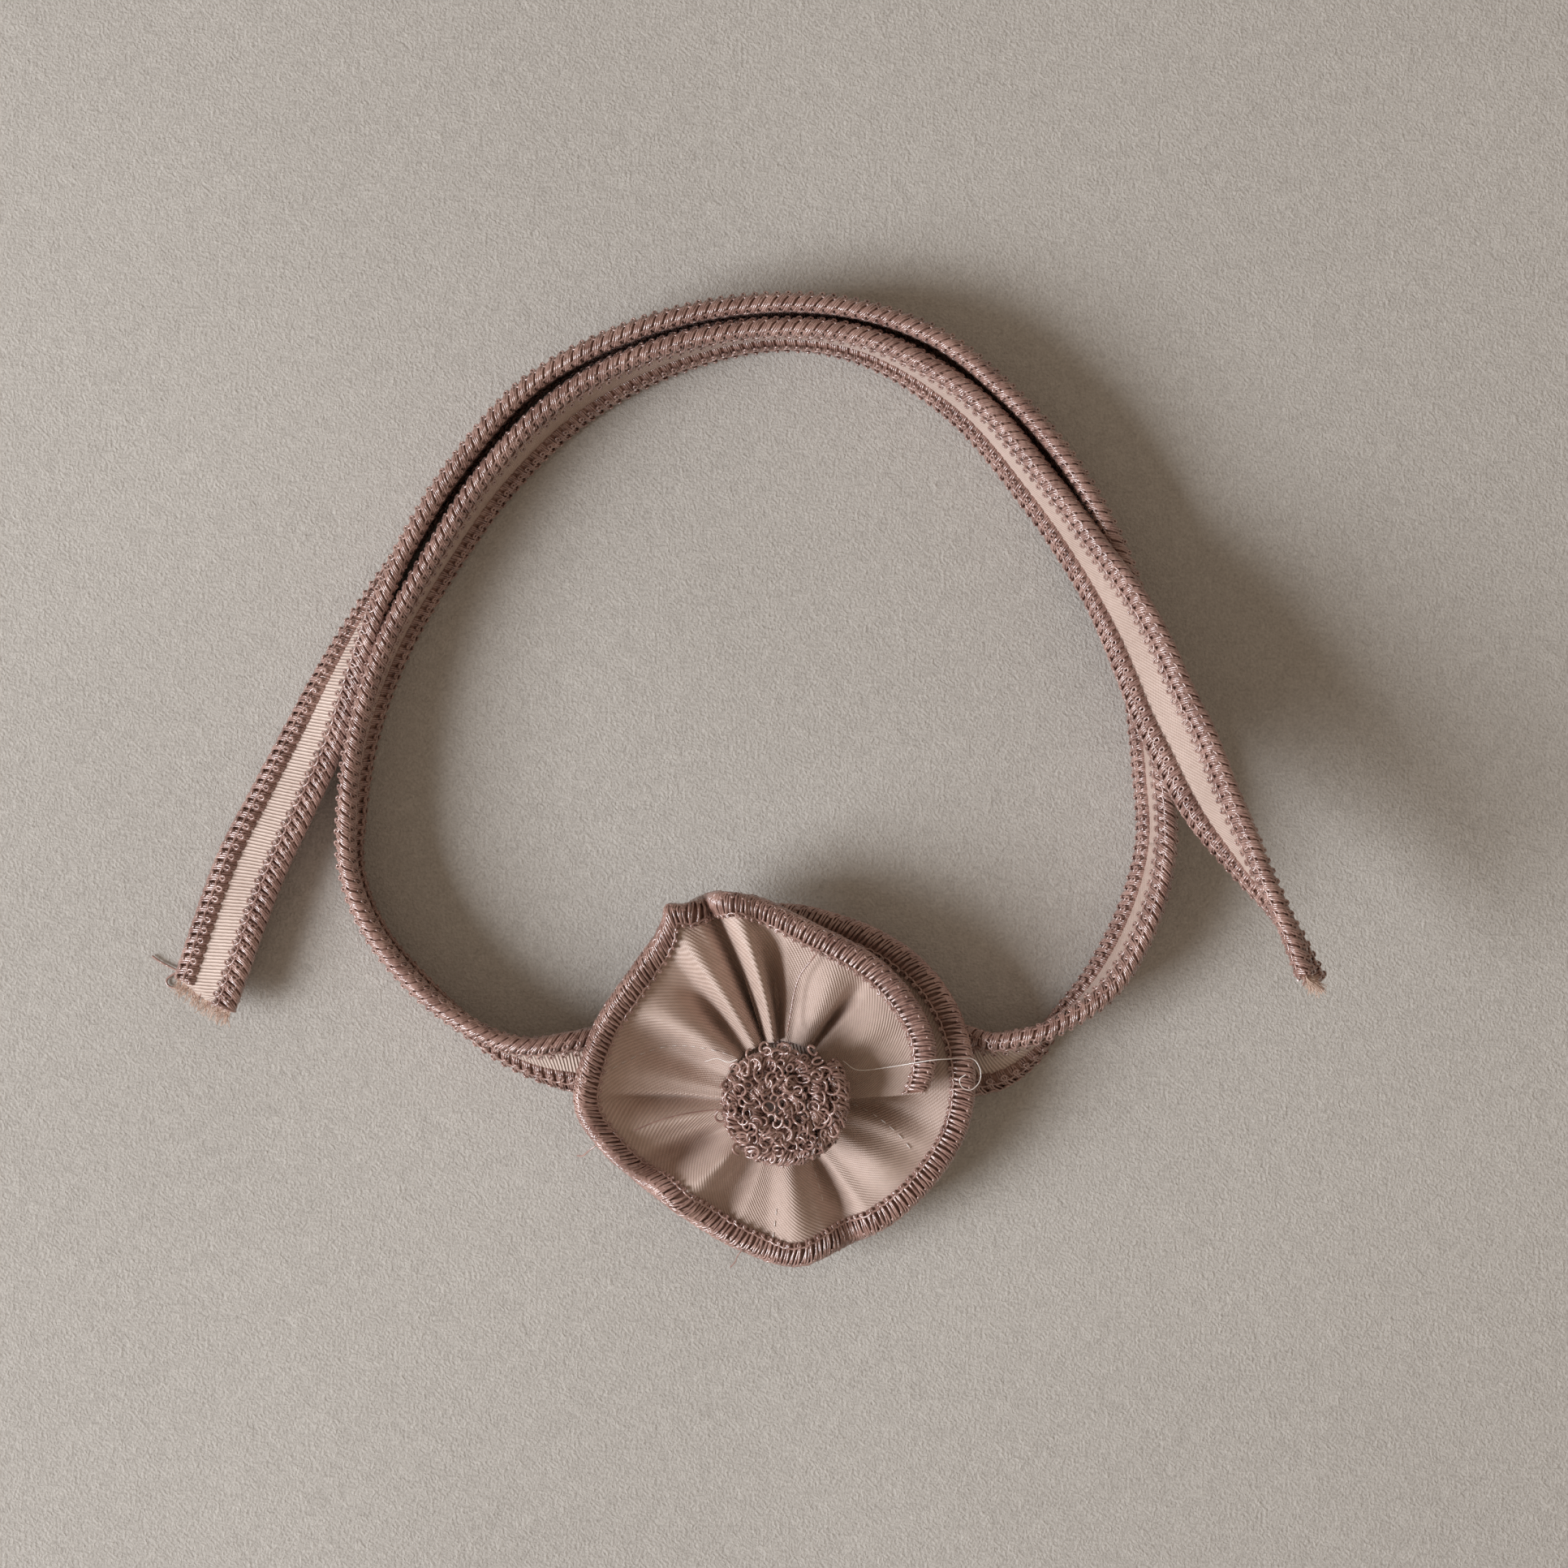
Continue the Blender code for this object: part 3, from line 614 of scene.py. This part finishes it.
def rufflePoints(a, b):
    # a runs clockwise along the ruffle and b from the gathered edge to the rim
    look = ruffleLook
    dense = smoothRows(rimRows, rimSteps)
    angle = rimRows[0][0] + (rimRows[-1][0] - rimRows[0][0]) * a
    radius = np.interp(-angle, -dense[:, 0], dense[:, 1]) * mm
    height = np.interp(-angle, -dense[:, 0], dense[:, 2]) * mm
    turn = np.radians(angle)
    out = np.stack([np.cos(turn), np.sin(turn), np.zeros_like(turn)], axis=-1)
    side = np.stack([np.sin(turn), -np.cos(turn), np.zeros_like(turn)], axis=-1)
    gather = np.array(budPlace) + out * look["gatherRadius"]
    gather[..., 2] = look["gatherHeight"] + look["gatherClimb"] * a
    rim = np.array(flowerPlace) + out * radius[..., None]
    rim[..., 2] = height
    points = gather + (rim - gather) * b[..., None]
    cup = np.exp(-((angle - look["cupAngle"]) / look["cupSpread"]) ** 2)
    points[..., 2] += (look["crown"] - look["cup"] * cup) * np.sin(math.pi * b)
    atBud = look["foldAtBud"] + (1.0 - look["foldAtBud"]) * smoothStep(0.0, look["foldFull"], b)
    for budAngle, rimAngle, spread, rise, reach, left, slant in pleatRows:
        centre = budAngle + (rimAngle - budAngle) * b
        x = np.clip((angle - centre) / spread, -1.0, 1.0)
        fold = np.cos(0.5 * math.pi * x) ** 2
        ending = smoothStep(reach - look["fadeBefore"], reach + look["fadeAfter"], b)
        fade = atBud * (1.0 - (1.0 - left) * ending)
        points[..., 2] += rise * mm * fold * fade
        points += side * (slant * mm * fold * fade)[..., None]
    pucker = np.sin(turn * look["puckers"]) * np.sin(turn * look["puckerBeat"] + 1.0)
    points[..., 2] += look["puckerHeight"] * (pucker * (1.0 - smoothStep(0.0, look["puckerReach"], b)))
    return points


def buildRuffle(rimLength, materials):
    def cloth(a, b):
        return rufflePoints(a, b), np.column_stack([a * rimLength, b * ruffleLook["flatWidth"]])

    ruffle = gridPiece("ruffleSatin", ruffleLook["along"], ruffleLook["across"], cloth, [materials["fine"]])
    thicken(ruffle, ruffleLook["cloth"])
    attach(ruffle, "flower")
    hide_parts("ruffle_ribbon")


def rimRoute():
    # the middle line of the overlocked strip along the rim
    a = np.linspace(0.0, 1.0, ruffleLook["rimPoints"])
    rim = rufflePoints(a, np.full(len(a), 1.0))
    inner = rufflePoints(a, np.full(len(a), ruffleLook["rimInner"]))
    across = unit(rim - inner)
    tangent = unit(np.gradient(rim, axis=0))
    normal = unit(np.cross(tangent, across))
    return Route(rim - across * halfWidth, across, normal)


budLook = {"turns": 2.35, "startAngle": 40.0, "outer": 8.0 * mm, "inner": 0.9 * mm, "winding": 0.85,
           "top": 17.3 * mm, "dome": 1.2 * mm, "flare": 0.05, "routePoints": 260,
           "satinWidth": 9.6 * mm, "cloth": 0.26 * mm, "along": 110, "across": 6,
           "rings": 120, "ringPoints": 15, "ringSize": (0.55 * mm, 1.0 * mm), "ringSqueeze": (0.55, 1.0),
           "ringTilt": 0.4, "ringLift": -0.05 * mm, "ringReach": 7.9 * mm, "ringStart": (0.0, 6.0),
           "ringTurns": (0.6, 1.6), "ringShift": 0.35 * mm, "ringShiftUp": 0.3 * 0.35 * mm,
           "rollSeed": 91, "ringSeed": 17}


def budRoute():
    # the bud's strip stands on edge and winds in
    turn = np.linspace(0.0, budLook["turns"], budLook["routePoints"])
    angle = math.radians(budLook["startAngle"]) - 2 * math.pi * turn
    rest = 1.0 - turn / budLook["turns"]
    radius = budLook["inner"] + (budLook["outer"] - budLook["inner"]) * rest ** budLook["winding"]
    out = np.stack([np.cos(angle), np.sin(angle), np.zeros_like(angle)], axis=-1)
    middle = np.array(budPlace) + out * radius[:, None]
    middle[:, 2] = budLook["top"] - halfWidth - budLook["dome"] * rest ** 2
    across = unit(np.array([0.0, 0.0, 1.0]) + out * budLook["flare"] * rest[:, None])
    tangent = unit(np.gradient(middle, axis=0))
    return Route(middle, across, unit(np.cross(tangent, across)))


def ringTangle(rng):
    # loops of the overlock thread lying every way over the top of the bud
    look = budLook
    spiral = 3.0 - math.sqrt(5.0)          # spreads the loops evenly over the round top
    strands = []
    for number in range(look["rings"]):
        share = (number + 0.5) / look["rings"]
        around = number * math.pi * spiral
        reach = look["ringReach"] * math.sqrt(share)
        rise = look["top"] + look["ringLift"] - look["dome"] * share ** 2
        centre = np.array(budPlace) + [reach * math.cos(around), reach * math.sin(around), rise]
        size = rng.uniform(*look["ringSize"])
        tilt = rng.normal(0.0, look["ringTilt"], 2)
        first = rng.uniform(*look["ringStart"])
        turn = first + np.linspace(0.0, 2 * math.pi * rng.uniform(*look["ringTurns"]), look["ringPoints"])
        x, y = np.cos(turn), np.sin(turn)
        ring = np.column_stack([x, rng.uniform(*look["ringSqueeze"]) * y, tilt[0] * x + tilt[1] * y])
        heading = rng.uniform(0.0, math.pi)
        ring[:, :2] = ring[:, :2] @ np.array([[math.cos(heading), math.sin(heading)],
                                              [-math.sin(heading), math.cos(heading)]])
        drift = rng.normal(0.0, 1.0, 3) * [look["ringShift"], look["ringShift"], look["ringShiftUp"]]
        strands.append(centre + drift + ring * size)
    return strands


def buildBud(materials):
    route = budRoute()

    def strip(a, b):
        s = a * route.total
        u = (b - 0.5) * budLook["satinWidth"]
        return route.place(s, u, np.zeros(len(s))), np.column_stack([s, u])

    coil = gridPiece("budSatin", budLook["along"], budLook["across"], strip, [materials["fine"]])
    thicken(coil, budLook["cloth"])
    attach(coil, "flower")
    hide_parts("bud_ribbon")
    roll = overlock("budRolls", route, 1, 0.0, route.total, budStitch, materials, budLook["rollSeed"])
    tangle = threadPiece("budRings", ringTangle(np.random.RandomState(budLook["ringSeed"])),
                         budStitch["threadRadius"], materials["thread"])
    roll = joinAs("budOverlock", [roll, tangle])
    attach(roll, "flower")
    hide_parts("bud_overlock")


# hand stitches on the ruffle: angle in degrees and share of the way out, at both ends of a line
runningStitches = [(-5, 0.03, -27, 0.75), (-66, 0.15, -70, 0.62), (-92, 0.5, -93, 0.8),
                   (-219, 0.08, -182, 0.9)]
stitchLook = {"dash": 0.95 * mm, "gap": 0.7 * mm, "radius": 0.07 * mm, "lift": 0.3 * mm, "dip": 1.6,
              "bend": np.array([0.0, 0.12, 0.5, 0.88, 1.0]), "linePoints": 400}

# single threads lying on the flower: rows of x, y and z in millimetres
looseThreads = {
    "shinyEnd": [(8.4, 0.6, 12.2), (10.5, -0.7, 11.6), (14.7, -0.2, 12.4), (19.9, 0.9, 15.1),
                 (22.6, 1.1, 14.9), (24.4, 1.0, 13.0), (26.0, 0.8, 12.0), (26.9, -0.6, 12.0),
                 (26.8, -2.2, 12.0), (25.7, -3.3, 12.0), (24.5, -3.0, 12.1), (24.1, -1.9, 12.4),
                 (24.9, -1.2, 12.6)],
    "darkTail": [(-8.4, -6.2, 9.5), (-12.4, -6.7, 9.6), (-16.4, -7.6, 10.4), (-19.8, -8.9, 11.4)],
    "leftEnd": [(-24.6, -10.7, 11.0), (-25.8, -11.6, 10.4), (-26.8, -12.5, 9.3), (-27.6, -12.6, 8.4)],
    "seamThread": [(4.9, 15.3, 14.6), (3.9, 14.0, 14.3), (2.6, 12.2, 13.5), (1.8, 9.6, 12.6),
                   (1.3, 6.6, 12.0), (0.9, 4.4, 12.0)],
    "bottomEnd": [(-5.2, -25.3, 8.6), (-5.9, -26.4, 7.6), (-6.2, -27.3, 6.4), (-6.9, -28.2, 5.6)],
    "whiteBit": [(-10.2, 0.4, 10.6), (-8.6, 0.9, 12.0), (-7.0, 0.5, 13.0), (-5.8, 1.0, 14.4)],
}
# the finish of each, and its radius in millimetres
looseLook = {"shinyEnd": ("clear", 0.07), "darkTail": ("thread", 0.1), "leftEnd": ("thread", 0.12),
             "seamThread": ("thread", 0.13), "bottomEnd": ("thread", 0.1), "whiteBit": ("clear", 0.07)}


def onRuffle(angle, b):
    first, last = rimRows[0][0], rimRows[-1][0]
    return rufflePoints((np.asarray(angle, float) - first) / (last - first), np.asarray(b, float))


def buildFlowerThreads(materials):
    look = stitchLook
    dashes = []
    for angleA, shareA, angleB, shareB in runningStitches:
        t = np.linspace(0.0, 1.0, look["linePoints"])
        line = onRuffle(angleA + (angleB - angleA) * t, shareA + (shareB - shareA) * t)
        line[:, 2] += look["lift"]
        run = np.concatenate([[0.0], np.cumsum(np.linalg.norm(np.diff(line, axis=0), axis=1))])
        for begin in np.arange(0.0, run[-1] - look["dash"], look["dash"] + look["gap"]):
            along = begin + look["bend"] * look["dash"]
            dash = np.stack([np.interp(along, run, line[:, k]) for k in range(3)], axis=-1)
            dash[[0, -1], 2] -= look["dip"] * look["lift"]        # both ends go into the cloth
            dashes.append(dash)
    stitches = threadPiece("gatheringStitches", dashes, look["radius"], materials["clear"])
    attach(stitches, "flower")
    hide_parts("gathering_thread")
    for name, rows in looseThreads.items():
        finish, radius = looseLook[name]
        strand = smoothRows(np.array(rows) * mm, strandSteps)
        loose = threadPiece(name, [strand], radius * mm, materials[finish], 2)
        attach(loose, "flower")


feltLook = {"sides": 96, "rings": 6, "bevel": 0.35 * mm, "segments": 3,
            "fuzz": 0.12 * mm, "dips": (-0.5, 0.0), "seed": 5,
            "deep": (0.33, 0.22, 0.18), "pale": (0.56, 0.42, 0.36), "ramp": (0.3, 0.75),
            "fuzzScale": 900.0, "fuzzWaver": 1.2, "fuzzShade": 0.6, "patchScale": 120.0, "patchShade": 0.4,
            "roughness": 0.92, "sheen": 0.4, "depth": 0.0004}
flatFace = 0.9                   # how straight up or down a face points to count as flat
smoothAngle = math.radians(40)


def buildFelt():
    low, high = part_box("felt_backing")
    radius = (high[0] - low[0]) / 2
    deselectAll()
    bpy.ops.mesh.primitive_cylinder_add(vertices=feltLook["sides"], radius=radius, depth=high[2] - low[2],
                                        location=((low[0] + high[0]) / 2, (low[1] + high[1]) / 2,
                                                  (low[2] + high[2]) / 2))
    pad = bpy.context.object
    pad.name = "feltPad"
    bpy.ops.object.transform_apply(location=True, rotation=True, scale=True)
    bpy.ops.object.mode_set(mode="EDIT")
    bpy.ops.mesh.select_all(action="DESELECT")
    bpy.ops.mesh.select_mode(type="FACE")
    bpy.ops.object.mode_set(mode="OBJECT")
    for face in pad.data.polygons:
        face.select = abs(face.normal.z) > flatFace
    bpy.ops.object.mode_set(mode="EDIT")
    for ring in range(feltLook["rings"]):
        bpy.ops.mesh.inset(thickness=radius / (feltLook["rings"] + 1))
    bpy.ops.object.mode_set(mode="OBJECT")
    edge = pad.modifiers.new("softEdge", "BEVEL")
    edge.width = feltLook["bevel"]
    edge.segments = feltLook["segments"]
    edge.limit_method = "ANGLE"
    applyAll(pad)
    rng = np.random.RandomState(feltLook["seed"])
    for vertex in pad.data.vertices:
        if low[2] + feltLook["fuzz"] < vertex.co.z:
            vertex.co.z += rng.uniform(*feltLook["dips"]) * feltLook["fuzz"]
    bpy.ops.object.shade_smooth_by_angle(angle=smoothAngle)
    pad.data.materials.append(feltMaterial("feltWool", feltLook))
    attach(pad, "flower")
    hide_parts("felt_backing")


def buildRosette(materials):
    route = rimRoute()
    buildRuffle(route.total, materials)
    margin = ruffleLook["rimMargin"]
    rim = overlock("rimOverlock", route, 1, margin, route.total - margin, rimStitch, materials,
                   ruffleLook["rimSeed"])
    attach(rim, "flower")
    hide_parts("ruffle_overlock")
    buildBud(materials)
    buildFlowerThreads(materials)
    buildFelt()
    print("rosette sewn:", round(route.total / mm), "mm of rim")


# frayed ends: how many fibres, how far they reach and how far they wander, and the longer thread tails
frayLook = {"fibres": 240, "reach": (0.5 * mm, 2.6 * mm), "spread": 0.45 * mm, "radius": 0.04 * mm,
            "threads": 5, "threadReach": (0.8 * mm, 1.8 * mm), "widest": 0.92, "rootDepth": 0.5 * mm,
            "points": 5, "seeds": (31, 32)}
threadTails = {
    "left_tail": [[(-78.0, 12.6, 0.9), (-80.6, 12.9, 0.6), (-83.2, 12.0, 0.4), (-84.9, 10.9, 0.3),
                   (-84.6, 9.9, 0.3), (-82.6, 9.6, 0.35), (-80.4, 9.9, 0.5), (-79.0, 10.3, 0.8)],
                  [(-79.2, 12.0, 0.8), (-82.0, 11.6, 0.5), (-85.3, 13.0, 0.3), (-87.0, 14.1, 0.3)]],
    "right_tail": [],
}


def frayEnd(name, route, s, way, slant, body, materials, seed):
    # pale fibres and a few overlock threads standing out of a cut end; way is -1 at the ribbon's start
    rng = np.random.RandomState(seed)
    look = frayLook
    end, before = route.at(route.middle, np.array([s, s - way * mm]))
    tangent = unit(end - before)
    across = route.at(route.across, np.array([s]))[0]
    normal = route.at(route.normal, np.array([s]))[0]
    made = []
    for kind, finish, count, reach, radius in (
            ("fine", "fray", look["fibres"], look["reach"], look["radius"]),
            ("thread", "thread", look["threads"], look["threadReach"], bandStitch["threadRadius"])):
        strands = []
        for number in range(count):
            far = rng.uniform(*reach)
            bend = rng.normal(0.0, look["spread"], 2)
            share = rng.uniform(-look["widest"], look["widest"])
            root = np.array([s - way * look["rootDepth"] + share * slant / 2])
            base = route.place(root, np.array([share * halfWidth]), np.zeros(1))[0]
            t = np.linspace(0.0, 1.0, look["points"])[:, None]
            strand = base + tangent * far * t + (across * bend[0] + normal * bend[1]) * t ** 2
            strand[:, 2] = np.maximum(strand[:, 2], lowest)
            strands.append(strand)
        made.append(threadPiece(name + kind, strands, radius, materials[finish]))
    tails = [smoothRows(np.array(rows) * mm, strandSteps) for rows in threadTails[body]]
    if tails:
        made.append(threadPiece(name + "tails", tails, bandStitch["threadRadius"], materials["thread"]))
    fray = joinAs(name, made)
    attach(fray, body)


def buildFrays(route, materials):
    seeds = frayLook["seeds"]
    frayEnd("rightFray", route, 0.0, -1, 0.0, "right_tail", materials, seeds[0])
    frayEnd("leftFray", route, route.total, 1, ribbonLook["leftCut"], "left_tail", materials, seeds[1])
    print("cut ends frayed")


buildStage()

# the ribbed face has the ribbon's own beige-pink, painted paler than the fine face's colour: painted sheen of
# the satin
ribbedSatinPaintedSheenLook = {"deep": (0.39, 0.258, 0.205), "pale": (0.86, 0.69, 0.60), "ramp": (0.25, 0.95),
             "direction": "X", "ribPitch": 0.48 * mm, "ribWaver": 0.6, "ribShare": 0.85,
             "crossing": "Y", "yarnPitch": 0.2 * mm, "yarnWaver": 0.8, "contrast": 0.55,
             "slubScale": 900.0, "slubShade": 0.35, "slubRelief": 0.5, "cloudScale": 90.0, "cloudShade": 0.45,
             "roughness": 0.40, "roughSpread": 0.18, "roughDrop": 0.09, "sheen": 0.2, "gloss": 0.5,
             "depth": 0.00016}
fineLook = dict(ribbedSatinPaintedSheenLook, deep=(0.40, 0.28, 0.225), pale=(0.71, 0.54, 0.465), direction="DIAGONAL",
                ribPitch=0.31 * mm, ribShare=0.7, contrast=0.45, depth=0.0001)
threadLook = {"deep": (0.19, 0.083, 0.066), "pale": (0.53, 0.33, 0.277), "ramp": (0.3, 0.7),
              "stretchScale": 260.0, "stretchShade": 0.45,
              "strandScale": 1500.0, "strandShade": 0.55, "strandWaver": 0.4,
              "roughness": 0.22, "roughSpread": 0.25, "roughDrop": 0.12, "sheen": 0.1, "gloss": 1.0,
              "coat": 0.85, "coatRoughness": 0.18, "depth": 0.00012}
# the bed is the same thread in a darker colour: painted shade in the hollows between the wrapped bundles
bedPaintedShadeLook = dict(threadLook, deep=(0.19, 0.08, 0.058), pale=(0.36, 0.205, 0.155), roughness=0.5, gloss=0.5,
               coat=0.0)
clearLook = dict(threadLook, deep=(0.62, 0.52, 0.47), pale=(0.86, 0.80, 0.76), roughness=0.25, sheen=0.0,
                 coat=0.6)
frayFinish = dict(clearLook, deep=(0.58, 0.40, 0.31), pale=(0.80, 0.62, 0.52), roughness=0.5, gloss=0.4,
                  coat=0.0)
materials = {"ribbed": clothMaterial("ribbedSatin", ribbedSatinPaintedSheenLook), "fine": clothMaterial("fineSatin", fineLook),
             "thread": threadMaterial("overlockThread", threadLook),
             "bed": threadMaterial("stitchBed", bedPaintedShadeLook), "clear": threadMaterial("sewingThread", clearLook),
             "fray": threadMaterial("frayedFibre", frayFinish)}
print("cloth and threads dyed:", len(materials), "finishes")

ribbon = buildRibbonRoute()
buildRibbon(ribbon, materials)
buildRosette(materials)
buildFrays(ribbon, materials)
